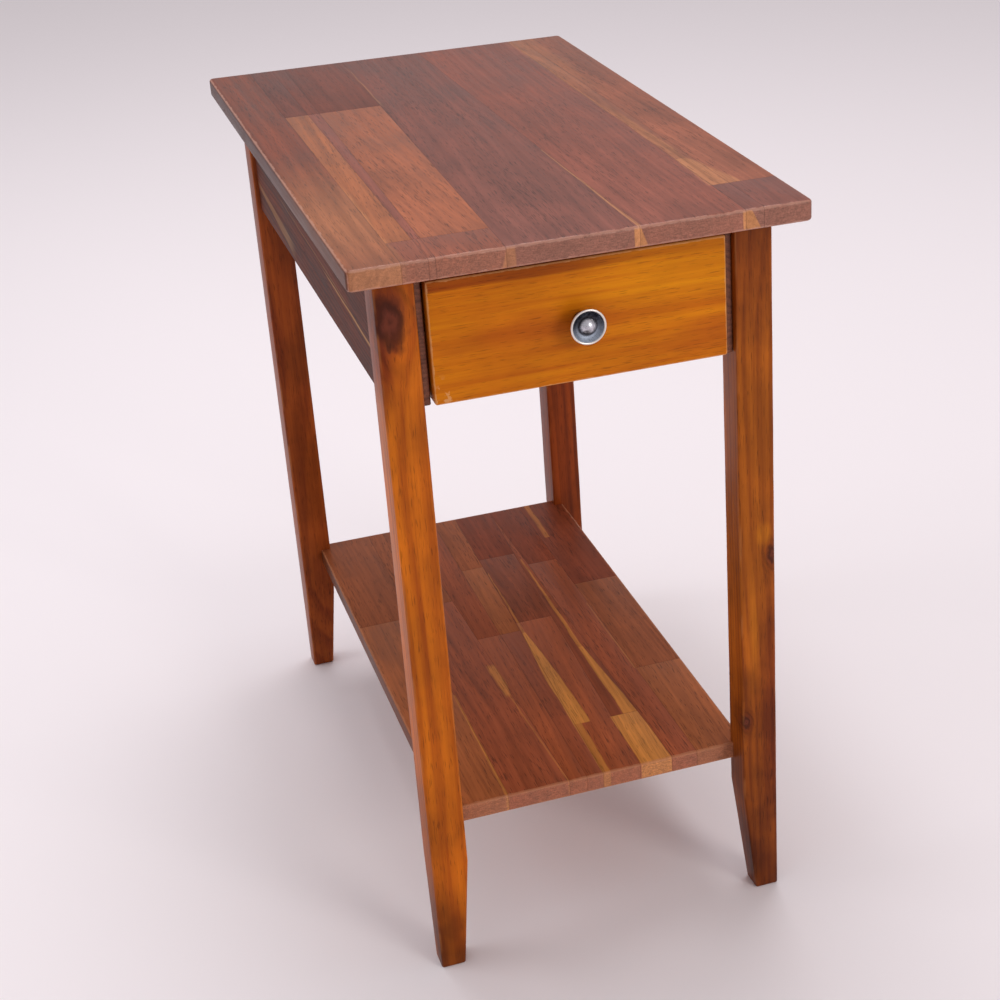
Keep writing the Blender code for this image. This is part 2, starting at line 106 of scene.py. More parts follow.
class Graph:
    """Builds a node tree. A value is a number, a tuple or another node's output socket."""

    def __init__(self, tree):
        self.tree = tree

    def put(self, socket, value):
        if isinstance(value, bpy.types.NodeSocket):
            self.tree.links.new(value, socket)
        else:
            socket.default_value = value

    def node(self, kind, inputs=None, out=0, **settings):
        made = self.tree.nodes.new(kind)
        for key, value in settings.items():
            setattr(made, key, value)
        for key, value in (inputs or {}).items():
            self.put(made.inputs[key], value)
        return made.outputs[out]

    def math(self, operation, *values, clamp=False):
        inputs = dict(enumerate(values))
        return self.node("ShaderNodeMath", inputs, operation=operation, use_clamp=clamp)

    def plus(self, first, second, clamp=False):
        return self.math("ADD", first, second, clamp=clamp)

    def minus(self, first, second):
        return self.math("SUBTRACT", first, second)

    def times(self, first, second, clamp=False):
        return self.math("MULTIPLY", first, second, clamp=clamp)

    def over(self, first, second):
        return self.math("DIVIDE", first, second)

    def times_plus(self, first, second, third):
        return self.math("MULTIPLY_ADD", first, second, third)

    def absolute(self, value):
        return self.math("ABSOLUTE", value)

    def centred(self, value):
        """Noise, which runs from 0 to 1, moved so that its middle is at 0."""
        return self.minus(value, 0.5)

    def vector(self, operation, *values, out=0):
        inputs = dict(enumerate(values))
        return self.node("ShaderNodeVectorMath", inputs, out, operation=operation)

    def join(self, x, y, z):
        return self.node("ShaderNodeCombineXYZ", {0: x, 1: y, 2: z})

    def split(self, vector):
        made = self.tree.nodes.new("ShaderNodeSeparateXYZ")
        self.put(made.inputs[0], vector)
        return made.outputs

    def length(self, x, y, z=0.0):
        return self.vector("LENGTH", self.join(x, y, z), out=1)

    def place(self):
        """The place on the piece, in the shared frame."""
        return self.node("ShaderNodeTexCoord", out=3)

    def attribute(self, name, out):
        return self.node("ShaderNodeAttribute", out=out, attribute_name=name)

    def line(self, value, low, high, to_low, to_high, **settings):
        inputs = {"Value": value, "From Min": low, "From Max": high}
        inputs.update({"To Min": to_low, "To Max": to_high})
        return self.node("ShaderNodeMapRange", inputs, **settings)

    def step(self, value, low, high, to_low=0.0, to_high=1.0):
        """Smooth step of value from low to high."""
        return self.line(value, low, high, to_low, to_high, interpolation_type="SMOOTHSTEP")

    def fall(self, value, low, high):
        """Smooth step from 1 at low to 0 at high."""
        return self.step(value, low, high, 1.0, 0.0)

    def mix(self, factor, first, second, blend="MIX"):
        inputs = {0: factor, 6: first, 7: second}
        return self.node("ShaderNodeMix", inputs, 2, data_type="RGBA", blend_type=blend)

    def tint(self, colour, by):
        return self.mix(1.0, colour, by, "MULTIPLY")

    def dim(self, colour, value):
        return self.tint(colour, self.join(value, value, value))

    def noise(self, vector, scale, detail, rough=0.5):
        inputs = {"Vector": vector, "Scale": scale, "Detail": detail, "Roughness": rough}
        return self.node("ShaderNodeTexNoise", inputs)

    def grain(self, place, pitch, detail, rough=0.5):
        """Noise with its own pitch along each axis, in waves per metre."""
        return self.noise(self.vector("MULTIPLY", place, pitch), 1.0, detail, rough)


FLOAT, VECTOR = "NodeSocketFloat", "NodeSocketVector"


def new_group(name, inputs, outputs):
    """A node group with its sockets, and the Graph, input sockets and output sockets to fill it."""
    tree = bpy.data.node_groups.new(name, "ShaderNodeTree")
    for label, kind, value in inputs:
        socket = tree.interface.new_socket(label, in_out="INPUT", socket_type=kind)
        socket.default_value = value
    for label in outputs:
        tree.interface.new_socket(label, in_out="OUTPUT", socket_type=FLOAT)
    source = tree.nodes.new("NodeGroupInput").outputs
    target = tree.nodes.new("NodeGroupOutput").inputs
    return tree, Graph(tree), source, target


# The heart of the tree lies this far beside the origin, so that its rings show as bowed grain
HEART_X, HEART_Y = 0.071, 0.046
# How far the rings sway, slowly and quickly, and how much each kind of grain weighs in the figure
DRIFT_SWAY, RIPPLE_SWAY = 0.085, 0.0042
YEAR_WEIGHT, STRAND_WEIGHT, FIBRE_WEIGHT = 0.40, 0.80, 0.55
RING_MIDDLE = 0.45
FIGURE_SPAN = 0.26
# Pitches of the wood's noises: twice across the grain, then along it
DRIFT_PITCH = (7.0, 7.0, 1.6)
RIPPLE_PITCH = (55.0, 55.0, 9.0)
FIBRE_PITCH = (520.0, 520.0, 11.0)
STRAND_PITCH = (150.0, 150.0, 3.2)
PORE_PITCH = (1250.0, 1250.0, 75.0)
PORE_PATCH_PITCH = (60.0, 60.0, 6.0)
CLOUD_PITCH = (26.0, 26.0, 15.0)


def make_wood_group():
    """Solid wood in its own frame: Z along the grain. Figure is 0 in dark latewood, 1 in light."""
    inputs = [("Vector", VECTOR, (0, 0, 0)), ("Ring", FLOAT, 0.0042), ("Waviness", FLOAT, 1.0)]
    inputs += [("Ring weight", FLOAT, 0.22)]
    tree, g, source, target = new_group("solid_wood", inputs, ["Figure", "Fibre", "Pores", "Mottle"])
    place = source["Vector"]
    drift = g.centred(g.grain(place, DRIFT_PITCH, 2.0))
    sway = g.times_plus(drift, DRIFT_SWAY, g.times(g.grain(place, RIPPLE_PITCH, 3.0), RIPPLE_SWAY))
    sway = g.times(sway, source["Waviness"])
    x, y, _ = g.split(place)
    radius = g.length(g.plus(x, HEART_X), g.plus(y, HEART_Y))
    turns = g.over(g.plus(radius, sway), source["Ring"])
    phase = g.math("FRACT", turns)
    rings = g.times(g.step(phase, 0.0, 0.72), g.fall(phase, 0.80, 1.0))
    year = g.noise(g.join(turns, 0.0, 0.0), 0.9, 1.0)
    fibre = g.grain(place, FIBRE_PITCH, 4.0, 0.62)
    strand = g.grain(place, STRAND_PITCH, 3.0, 0.6)
    figure = g.times(g.minus(rings, RING_MIDDLE), source["Ring weight"])
    for share, weight in ((year, YEAR_WEIGHT), (strand, STRAND_WEIGHT), (fibre, FIBRE_WEIGHT)):
        figure = g.times_plus(g.centred(share), weight, figure)
    g.put(target["Figure"], g.line(figure, -FIGURE_SPAN, FIGURE_SPAN, 0.0, 1.0))
    g.put(target["Fibre"], fibre)
    dashes = g.minus(g.grain(place, PORE_PITCH, 1.0), 0.11)
    gate = g.times_plus(g.grain(place, PORE_PATCH_PITCH, 1.0), 0.22, dashes)
    g.put(target["Pores"], g.step(gate, 0.60, 0.70))
    g.put(target["Mottle"], g.step(g.grain(place, CLOUD_PITCH, 3.0, 0.55), 0.28, 0.74))
    return tree


def make_streak_group():
    """A stripe of other wood, whose middle and width change evenly from its start to its end."""
    inputs = [
        ("Across", FLOAT, 0.0),
        ("Along", FLOAT, 0.0),
        ("Start", FLOAT, 0.0),
        ("End", FLOAT, 1.0),
        ("Centre start", FLOAT, 0.0),
        ("Centre end", FLOAT, 0.0),
        ("Half start", FLOAT, 0.001),
        ("Half end", FLOAT, 0.001),
        ("Blur", FLOAT, 0.0008),
        ("End blur", FLOAT, 0.0005),
    ]
    tree, g, source, target = new_group("streak", inputs, ["Mask"])
    across, along, blur = source["Across"], source["Along"], source["Blur"]
    start, end, soft = source["Start"], source["End"], source["End blur"]
    share = g.line(along, start, end, 0.0, 1.0)
    centre = g.line(share, 0.0, 1.0, source["Centre start"], source["Centre end"])
    half = g.line(share, 0.0, 1.0, source["Half start"], source["Half end"])
    wander = g.noise(g.join(g.times(across, 60.0), g.times(along, 22.0), 0.0), 1.0, 3.0)
    wander = g.times(g.centred(wander), g.times(blur, 2.4))
    inside = g.minus(half, g.absolute(g.minus(g.plus(across, wander), centre)))
    side = g.step(inside, g.times(blur, -0.5), g.times(blur, 0.5))
    past_start = g.step(along, g.minus(start, soft), g.plus(start, soft))
    before_end = g.fall(along, g.minus(end, soft), g.plus(end, soft))
    g.put(target["Mask"], g.times(side, g.times(past_start, before_end)))
    return tree


KNOT_DEPTH = 0.012


def make_knot_group():
    """A knot near a face: how far it pushes the grain aside, and where it darkens the wood."""
    inputs = [("Across", FLOAT, 0.0), ("Along", FLOAT, 0.0), ("Depth", FLOAT, 0.0)]
    inputs += [("Width", FLOAT, 0.006), ("Length", FLOAT, 0.012)]
    tree, g, source, target = new_group("knot", inputs, ["Push", "Heart", "Halo", "Ring"])
    across = g.over(source["Across"], source["Width"])
    along = g.over(source["Along"], source["Length"])
    wobble = g.noise(g.join(across, along, 0.0), 1.6, 4.0)
    reach = g.length(across, along, g.over(source["Depth"], KNOT_DEPTH))
    reach = g.plus(reach, g.times_plus(wobble, 1.0, -0.5))
    bend = g.math("EXPONENT", g.times(g.times(reach, reach), -0.35))
    side = g.over(across, g.plus(g.absolute(across), 0.35))
    lobes = g.times_plus(g.times(across, along), 2.2, g.times(reach, 7.0))
    g.put(target["Push"], g.times(g.times(bend, side), source["Width"]))
    g.put(target["Heart"], g.fall(reach, 0.30, 1.45))
    g.put(target["Halo"], g.fall(reach, 0.9, 2.6))
    g.put(target["Ring"], g.math("SINE", lobes))
    return tree


WOOD = make_wood_group()
STREAK = make_streak_group()
KNOT = make_knot_group()


def use_group(g, tree, **inputs):
    """Puts a group in a tree. An input's name has an underscore for each space."""
    made = g.tree.nodes.new("ShaderNodeGroup")
    made.node_tree = tree
    for key, value in inputs.items():
        g.put(made.inputs[key.replace("_", " ")], value)
    return made.outputs


def new_material(name, roughness, specular, metallic=0.0):
    """A material, its Graph and its shader, whose constant sockets are set here."""
    material = bpy.data.materials.new(name)
    material.use_nodes = True
    shader = material.node_tree.nodes["Principled BSDF"]
    shader.inputs["Roughness"].default_value = roughness
    shader.inputs["Metallic"].default_value = metallic
    shader.inputs["Specular IOR Level"].default_value = specular
    return material, Graph(material.node_tree), shader


def grain_frame(g, place, axis):
    """Turns a place so that the grain, which runs along the named axis, runs along Z."""
    x, y, z = g.split(place)
    return {"X": g.join(y, z, x), "Y": g.join(z, x, y), "Z": g.join(x, y, z)}[axis]


def shade_wood(g, wood, dark, light, mottle, pores=0.45):
    """Colour between a piece's dark and light wood, with cloudy figure and open pores."""
    colour = g.mix(wood["Figure"], dark, light)
    colour = g.dim(colour, g.line(wood["Mottle"], 0.0, 1.0, 1.0 - mottle, 1.0 + mottle * 0.6))
    return g.dim(colour, g.line(wood["Pores"], 0.0, 1.0, 1.0, 1.0 - pores))


def finish_wood(g, shader, colour, wood, dull):
    """Fine relief and gloss that every piece of lacquered wood shares."""
    g.put(shader.inputs["Base Color"], colour)
    relief = g.times_plus(wood["Pores"], -0.8, g.times(wood["Fibre"], 0.5))
    bump = g.node("ShaderNodeBump", {"Strength": 0.22, "Distance": 0.0002, "Height": relief})
    g.put(shader.inputs["Normal"], bump)
    gloss = g.times_plus(wood["Fibre"], 0.22, 0.24 + dull)
    g.put(shader.inputs["Roughness"], g.times_plus(wood["Mottle"], 0.06, gloss))


# ---------------------------------------------------------------- wood materials


def plain_wood(name, axis, dark, light, ring, mottle, dull, specular=0.3):
    """Even wood with its grain along an axis of the frame."""
    material, g, shader = new_material(name, MEAN_ROUGHNESS, specular)
    wood = use_group(g, WOOD, Vector=grain_frame(g, g.place(), axis), Ring=ring)
    finish_wood(g, shader, shade_wood(g, wood, dark, light, mottle), wood, dull)
    return material


def streak(
    start, end, centre_start, centre_end, half_start, half_end, strength, blur=0.0012, end_blur=0.0006
):
    """One stripe: its two ends, its middle and its half width at each of them, and its strength."""
    shape = {"Start": start, "End": end, "Centre_start": centre_start, "Centre_end": centre_end}
    shape.update({"Half_start": half_start, "Half_end": half_end, "Blur": blur, "End_blur": end_blur})
    return {"shape": shape, "strength": strength}


def lay_streaks(g, colour, streaks, across, along, over, gate=None):
    """Lays stripes of another colour over a colour, only where the gate is open if there is one."""
    for item in streaks:
        mask = use_group(g, STREAK, Across=across, Along=along, **item["shape"])[0]
        if gate is not None:
            mask = g.times(mask, gate)
        colour = g.mix(g.times(mask, item["strength"]), colour, over)
    return colour


def arris_wear(g, place, low, high, reach):
    """Wear of a box, from 1 on its arrises to 0 on its flat faces, and the noise that breaks it up."""
    middle, half = (low + high) / 2, (high - low) / 2
    gaps = g.vector("ABSOLUTE", g.vector("SUBTRACT", place, tuple(middle)))
    a, b, c = g.split(g.vector("SUBTRACT", tuple(half), gaps))
    second = g.math("MINIMUM", g.math("MAXIMUM", a, b), c)
    second = g.math("MAXIMUM", g.math("MINIMUM", a, b), second)
    rub = g.grain(place, (160.0, 160.0, 160.0), 4.0, 0.65)
    gap = g.times_plus(rub, -1.6 * reach, second)
    return g.fall(gap, reach * -0.30, reach * 0.20), rub


def stave_grain(g, place):
    """Wood for edge-glued staves: each stave's own shift takes it to its own part of the tree."""
    x, y, z = g.split(place)
    shift = g.attribute("shift", 1)
    lean = g.times(g.times(g.split(shift)[2], 0.10), y)
    shifted = g.vector("ADD", g.join(g.plus(x, lean), y, z), shift)
    wood = use_group(
        g, WOOD, Vector=grain_frame(g, shifted, "Y"), Ring=0.0058, Waviness=1.2, Ring_weight=0.10
    )
    return shifted, wood


def sawn_ends(g, colour, shifted, facing):
    """End grain on the front and back edges: paler, and speckled by the cut fibres."""
    speck = g.grain(shifted, (900.0, 120.0, 900.0), 2.0)
    rays = g.grain(shifted, (260.0, 60.0, 1600.0), 2.0)
    sawn = g.line(g.plus(speck, rays), 0.7, 1.3, 0.72, 1.30)
    cut = g.dim(g.mix(0.34, colour, srgb(178, 132, 112)), sawn)
    return g.mix(g.step(g.absolute(facing), 0.75, 0.95), colour, cut)


def staved_wood(name, box, streaks, end_streaks, gold, shade, painted_shade_to_back, specular, arris_wear_and_highlight_colour):
    """Edge-glued staves. Each face carries its stave's colour, and its own shift of the grain."""
    material, g, shader = new_material(name, MEAN_ROUGHNESS, specular)
    low, high = box
    place = g.place()
    x, y, z = g.split(place)
    shifted, wood = stave_grain(g, place)
    tone = g.attribute("tone", 0)
    dark, light = g.tint(tone, shade), g.tint(tone, (1.22, 1.20, 1.16, 1.0))
    # Painted shade: the colour is scaled from the first number at the front to the second at the back
    colour = g.dim(shade_wood(g, wood, dark, light, 0.18, 0.5), g.line(y, low.y, high.y, *painted_shade_to_back))

    sapwood = shade_wood(g, wood, (0.70, 0.66, 0.60, 1), (1.15, 1.15, 1.15, 1), 0.12, 0.3)
    sapwood = g.tint(sapwood, gold)
    across, along, up = g.minus(x, low.x), g.minus(y, low.y), g.minus(z, low.z)
    colour = lay_streaks(g, colour, streaks, across, along, sapwood)
    normal = g.split(g.node("ShaderNodeNewGeometry", out=1))
    colour = sawn_ends(g, colour, shifted, normal[1])
    front = g.fall(normal[1], -0.9, -0.6)
    colour = lay_streaks(g, colour, end_streaks, across, up, sapwood, front)

    # Painted shade: the left and right side faces of the panel are darkened
    side = g.step(g.absolute(normal[0]), 0.7, 0.9)
    colour = g.mix(side, colour, g.tint(colour, (0.38, 0.33, 0.33, 1)))
    # Pale arrises: wear, and a painted highlight along the rounded edges, weaker on the side faces
    worn, _ = arris_wear(g, place, low, high, 0.0022)
    colour = g.mix(g.times(worn, g.line(side, 0.0, 1.0, 0.5, 0.1)), colour, arris_wear_and_highlight_colour)
    seam = g.times(g.attribute("seam", 2), 0.45)
    colour = g.mix(seam, colour, g.tint(colour, (0.4, 0.36, 0.34, 1)))
    finish_wood(g, shader, colour, wood, 0.04)
    return material


# A long pale scratch along the left apron, under the top, a faint one behind it and a scuff
APRON_SCRATCHES = [
    streak(-0.235, -0.070, 0.5265, 0.5320, 0.0015, 0.00060, 0.80, 0.0014, 0.02),
    streak(-0.150, 0.120, 0.5330, 0.5400, 0.0007, 0.00028, 0.35, 0.0014, 0.02),
    streak(0.080, 0.235, 0.5080, 0.5220, 0.0060, 0.00240, 0.34, 0.0014, 0.02),
]


def scratch_apron(material):
    """Scratches a board that runs along Y, on both of its faces."""
    g, shader = Graph(material.node_tree), material.node_tree.nodes["Principled BSDF"]
    colour = shader.inputs["Base Color"].links[0].from_socket
    _, y, z = g.split(g.place())
    colour = lay_streaks(g, colour, APRON_SCRATCHES, z, y, srgb(178, 132, 84))
    g.put(shader.inputs["Base Color"], colour)


def lay_patch(g, colour, wood, x, z, patch):
    """Tints an oval patch: where its middle is, its half width and height, its tint and strength."""
    middle_x, middle_z, half_x, half_z, tint, strength = patch
    reach = g.length(g.over(g.minus(x, middle_x), half_x), g.over(g.minus(z, middle_z), half_z))
    reach = g.times_plus(wood["Mottle"], 0.35, reach)
    mask = g.times(g.fall(reach, 0.35, 1.25), strength)
    return g.mix(mask, colour, g.tint(colour, tint))


def lay_knot(g, colour, mark):
    """Darkens a knot's heart, ring by ring, and the bent grain round it."""
    ring = g.line(mark["Ring"], -1.0, 1.0, 0.50, 1.45)
    heart = g.dim(srgb(84, 38, 26), ring)
    swirl = g.line(mark["Ring"], -1.0, 1.0, 0.38, 0.80)
    halo = g.tint(colour, g.join(swirl, g.times(swirl, 0.85), swirl))
    colour = g.mix(g.times(mark["Halo"], 0.7), colour, halo)
    return g.mix(g.times(mark["Heart"], 0.85), colour, heart)


def leg_wood(name, dark, light, corner, knots, patches):
    """Leg wood, grain along Z, with knots and patches placed from its front left corner."""
    material, g, shader = new_material(name, MEAN_ROUGHNESS, 0.13)
    place = g.place()
    x, y, z = g.split(place)
    push = 0.0
    marks = []
    for from_left, height, width, length in knots:
        mark = use_group(
            g, KNOT, Across=g.minus(x, corner.x + from_left), Along=g.minus(z, height),
            Depth=g.minus(y, corner.y), Width=width, Length=length
        )
        marks.append(mark)
        push = g.minus(push, mark["Push"])
    wood = use_group(g, WOOD, Vector=g.join(g.plus(x, push), y, z), Ring=0.0052, Waviness=0.6)
    colour = shade_wood(g, wood, dark, light, 0.26, 0.4)
    for from_left, *rest in patches:
        colour = lay_patch(g, colour, wood, x, z, (corner.x + from_left, *rest))
    for mark in marks:
        colour = lay_knot(g, colour, mark)
    rub = g.grain(place, (60.0, 60.0, 25.0), 3.0)
    rub = g.times(g.step(rub, 0.45, 0.62), g.times(g.attribute("arris", 2), 0.35))
    colour = g.mix(rub, colour, srgb(196, 128, 74))
    finish_wood(g, shader, colour, wood, 0.02)
    return material


def drawer_front_colour(g, wood, place, across, up):
    """Golden wood, redder low down at both ends, sunny at the top right, with a painted shadow of the
    tabletop along the top.
    """
    gold = shade_wood(g, wood, srgb(186, 94, 8), srgb(211, 123, 10), 0.12, 0.3)
    red = shade_wood(g, wood, srgb(170, 80, 10), srgb(190, 98, 14), 0.12, 0.35)
    drift = g.centred(g.grain(place, (9.0, 9.0, 34.0), 3.0))

    low_left = g.length(g.minus(across, 0.22), g.minus(up, 0.42))
    low_right = g.length(g.minus(across, 0.95), g.minus(up, 0.2))
    near = g.math("MINIMUM", low_left, g.times_plus(low_right, 1.2, 0.05))
    near = g.times_plus(drift, 0.9, near)
    colour = g.mix(g.step(near, 0.05, 0.42, 0.95, 0.0), gold, red)

    sunny = g.times(g.step(across, 0.30, 0.75), g.step(up, 0.50, 0.72))
    sunny = g.times(g.times_plus(drift, 0.8, sunny), 0.8, clamp=True)
    colour = g.mix(sunny, colour, g.tint(colour, (1.22, 1.5, 0.8, 1)))

    # Painted shadow of the tabletop: a dark band along the top of the front, deeper at the left
    tabletop_shadow_band = g.step(g.times_plus(drift, 0.08, up), 0.89, 0.925)
    tabletop_shadow_band = g.times(tabletop_shadow_band, g.step(across, 0.45, 0.75, 0.9, 0.45))
    return g.mix(tabletop_shadow_band, colour, g.tint(colour, (0.55, 0.40, 0.9, 1)))


def drawer_front_wood(low, high):
    """The drawer front's wood, grain along X, worn pale at its edges and at its lower left corner."""
    material, g, shader = new_material("drawer_front_wood", MEAN_ROUGHNESS, 0.10)
    place = g.place()
    x, _, z = g.split(place)
    along_x = grain_frame(g, place, "X")
    wood = use_group(g, WOOD, Vector=along_x, Ring=0.0075, Waviness=1.0, Ring_weight=0.12)
    width, height = high.x - low.x, high.z - low.z
    across, up = g.over(g.minus(x, low.x), width), g.over(g.minus(z, low.z), height)
    colour = drawer_front_colour(g, wood, place, across, up)
    worn, rub = arris_wear(g, place, low, high, 0.0016)
    corner = g.length(g.times(across, width), g.times(up, height))
    chips = g.times(g.step(rub, 0.56, 0.62), g.fall(corner, 0.008, 0.026))
    worn = g.math("MAXIMUM", g.times(worn, 0.5), g.times(chips, 0.6))
    finish_wood(g, shader, g.mix(worn, colour, srgb(222, 168, 112)), wood, 0.02)
    return material


# ---------------------------------------------------------------- metals


def pewter_material(centre):
    """Antique pewter: a bright rubbed rim; a dome with a painted highlight on its top and painted shade at
    its bottom; a dish with painted shade on its upper side and a painted bluish reflection on its lower
    side, mottled by grime.
    """
    material, g, shader = new_material("antique_pewter", MEAN_ROUGHNESS, 0.5, 1.0)
    place = g.place()
    x, _, z = g.split(g.vector("SUBTRACT", place, tuple(centre)))
    radius = g.length(x, 0.0, z)
    rim = g.step(radius, 0.0116, 0.0120)
    dome = g.fall(radius, 0.0058, 0.0070)
    grime = g.grain(place, (420.0, 420.0, 420.0), 5.0, 0.65)
    fine = g.grain(place, (1600.0, 1600.0, 1600.0), 3.0)
    dirt = g.times_plus(grime, 1.0, -0.5)
    # Painted shade on the dish's upper side and a painted bluish reflection on its lower side, with grime
    dish_shade_and_reflection = g.step(g.times_plus(grime, 0.004, z), -0.009, 0.008, 0.95, 0.05)
    dish_shade_and_reflection = g.plus(dish_shade_and_reflection, dirt, clamp=True)
    # Painted highlight on the top of the dome and painted shade at its bottom, with grime
    dome_highlight_and_shade = g.step(g.times_plus(grime, 0.006, z), -0.0030, 0.0040, -0.10, 0.95)
    dome_highlight_and_shade = g.plus(dome_highlight_and_shade, dirt, clamp=True)

    colour = g.mix(dish_shade_and_reflection, srgb(36, 37, 46), srgb(172, 182, 198))
    colour = g.mix(dome, colour, g.mix(dome_highlight_and_shade, srgb(64, 60, 60), srgb(214, 214, 222)))
    groove = g.step(g.absolute(g.minus(radius, 0.0070)), 0.0002, 0.0010, 0.7, 0.0)
    colour = g.mix(groove, colour, srgb(50, 46, 50))
    colour = g.mix(g.step(fine, 0.52, 0.66, 0.0, 0.45), colour, srgb(62, 58, 56))
    colour = g.mix(rim, colour, srgb(232, 226, 220))
    g.put(shader.inputs["Base Color"], colour)

    smooth = g.math("MAXIMUM", rim, g.times(dome, dome_highlight_and_shade))
    g.put(shader.inputs["Roughness"], g.line(smooth, 0.0, 1.0, 0.58, 0.34))
    bump = g.node("ShaderNodeBump", {"Strength": 0.25, "Distance": 0.0002, "Height": grime})
    g.put(shader.inputs["Normal"], bump)
    return material


def steel_material():
    material, g, shader = new_material("zinc_plated_steel", MEAN_ROUGHNESS, 0.5, 1.0)
    haze = g.grain(g.place(), (500.0, 500.0, 500.0), 4.0)
    g.put(shader.inputs["Base Color"], g.mix(haze, srgb(150, 148, 140), srgb(205, 204, 198)))
    g.put(shader.inputs["Roughness"], g.line(haze, 0.0, 1.0, 0.28, 0.5))
    return material


# ---------------------------------------------------------------- meshes


def add_object(name, content):
    made = bpy.data.objects.new(name, content)
    bpy.context.scene.collection.objects.link(made)
    return made


def mesh_of(name, bm, material):
    mesh = bpy.data.meshes.new(name)
    bm.to_mesh(mesh)
    bm.free()
    mesh.materials.append(material)
    return mesh


def add_piece(name, bm, material, node, body):
    """Makes bm a piece that stands for a CAD node and rides on its body."""
    bmesh.ops.recalc_face_normals(bm, faces=bm.faces)
    mesh = mesh_of(name, bm, material)
    piece = add_object(name, mesh)
    mesh.shade_smooth()
    for face in mesh.polygons:
        face.use_smooth = max(abs(part) for part in face.normal) < FLAT
    mesh.set_sharp_from_angle(angle=SHARP_ANGLE)
    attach(piece, body)
    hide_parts(node)
    return piece


def bevel(bm, edges, offset, segments):
    bmesh.ops.bevel(bm, geom=list(edges), offset=offset, segments=segments, profile=0.5, affect="EDGES")


def eased_box(low, high, arris, corner=0.0):
    """A box with round arrises and, where corner is given, rounder upright corners."""
    bm = bmesh.new()
    bmesh.ops.create_cube(bm, size=1.0)
    size, middle = high - low, (high + low) / 2
    for vert in bm.verts:
        vert.co = Vector(vert.co[i] * size[i] + middle[i] for i in range(3))
    edges = set(bm.edges)
    if corner:
        upright = [e for e in bm.edges if abs((e.verts[0].co - e.verts[1].co).z) > size.z / 2]
        bevel(bm, upright, corner, CORNER_STEPS)
        edges = {e for f in bm.faces if abs(f.normal.z) > FACING for e in f.edges}
    bevel(bm, edges, arris, ARRIS_STEPS)
    return bm


def cut_faces(bm, faces, point, normal):
    """Cuts faces along a plane, and leaves both halves."""
    parts = set(faces)
    for face in faces:
        parts.update(face.edges, face.verts)
    bmesh.ops.bisect_plane(
        bm, geom=list(parts), dist=CUT_TOLERANCE, plane_co=point, plane_no=normal
    )


def score(bm, faces_of, point, normal, within):
    """A fine sunk seam: three cuts, with the middle one pressed in wherever within says so."""
    for offset in (-GROOVE_HALF_WIDTH, GROOVE_HALF_WIDTH, 0.0):
        cut_faces(bm, faces_of(), point + normal * offset, normal)
    bm.normal_update()
    sunk = [v for v in bm.verts if abs((v.co - point).dot(normal)) < ON_PLANE and within(v.co)]
    moves = [(v, v.normal.copy()) for v in sunk]
    for vert, direction in moves:
        vert.co -= direction * GROOVE_DEPTH


def seam_x(strip, y, length):
    """Where a strip's left edge is, at y behind the panel's front."""
    return strip[0] + (strip[1] - strip[0]) * y / length


def stave_at(strips, x, y, length):
    """The strip and the stave in it at a place counted from the panel's front left corner."""
    strip = max(i for i, item in enumerate(strips) if x >= seam_x(item, y, length) or i == 0)
    staves = strips[strip][2]
    for number, (end, tone) in enumerate(staves):
        if y <= end or number == len(staves) - 1:
            return strip, number, tone


def paint_staves(mesh, strips, low, high):
    """Writes each face's colour, shift of the grain and seam on its corners, for staved_wood."""
    for label, kind in (("tone", "FLOAT_COLOR"), ("shift", "FLOAT_VECTOR"), ("seam", "FLOAT")):
        mesh.attributes.new(label, kind, "CORNER")
    tones, shifts, seams = (mesh.attributes[label] for label in ("tone", "shift", "seam"))
    length = high.y - low.y
    for face in mesh.polygons:
        x, y = face.center.x - low.x, face.center.y - low.y
        strip, number, tone = stave_at(strips, x, y, length)
        dice = random.Random(SEED + strip * STRIP_SEED_STEP + number * STAVE_SEED_STEP)
        shift = Vector([dice.uniform(-reach, reach) for reach in STAVE_SHIFT])
        gap_x = min(abs(x - seam_x(item, y, length)) for item in strips[1:])
        gap_y = min((abs(y - end) for end, _ in strips[strip][2][:-1]), default=math.inf)
        seam = 1.0 if min(gap_x, gap_y) < GROOVE_HALF_WIDTH else 0.0
        for corner in face.loop_indices:
            tones.data[corner].color = tone
            shifts.data[corner].vector = shift
            seams.data[corner].value = seam


def staved_panel(name, node, strips, material, arris, corner=0.0):
    """A panel of edge-glued staves: one solid, scored along its seams, each stave its own colour."""
    low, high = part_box(node)
    bm = eased_box(low, high, arris, corner)
    width, length = high.x - low.x, high.y - low.y
    for strip in strips[1:]:
        point = Vector((low.x + strip[0], low.y, low.z))
        normal = Vector((length, strip[0] - strip[1], 0)).normalized()
        score(bm, lambda: list(bm.faces), point, normal, lambda place: True)
    past_side = (2 * width, 2 * width)
    for strip, following in zip(strips, strips[1:] + [past_side]):

        def inside(place):
            x, y = place.x - low.x, place.y - low.y
            left, right = seam_x(strip, y, length), seam_x(following, y, length)
            return left + SEAM_MARGIN < x < right - SEAM_MARGIN

        def strip_faces():
            return [f for f in bm.faces if abs(f.normal.z) > FACING and inside(f.calc_center_median())]

        for end, _ in strip[2][:-1]:
            point = Vector((low.x, low.y + end, low.z))
            score(bm, strip_faces, point, Vector((0, 1, 0)), inside)
    piece = add_piece(name, bm, material, node, "frame")
    paint_staves(piece.data, strips, low, high)


def skin(bm, rings, sides):
    """Faces between neighbouring rings. A ring of one point closes to a tip."""
    for first, second in zip(rings, rings[1:]):
        for i in range(sides):
            j = (i + 1) % sides
            corners = [first[i % len(first)], first[j % len(first)]]
            corners += [second[j % len(second)], second[i % len(second)]]
            bm.faces.new(list(dict.fromkeys(corners)))


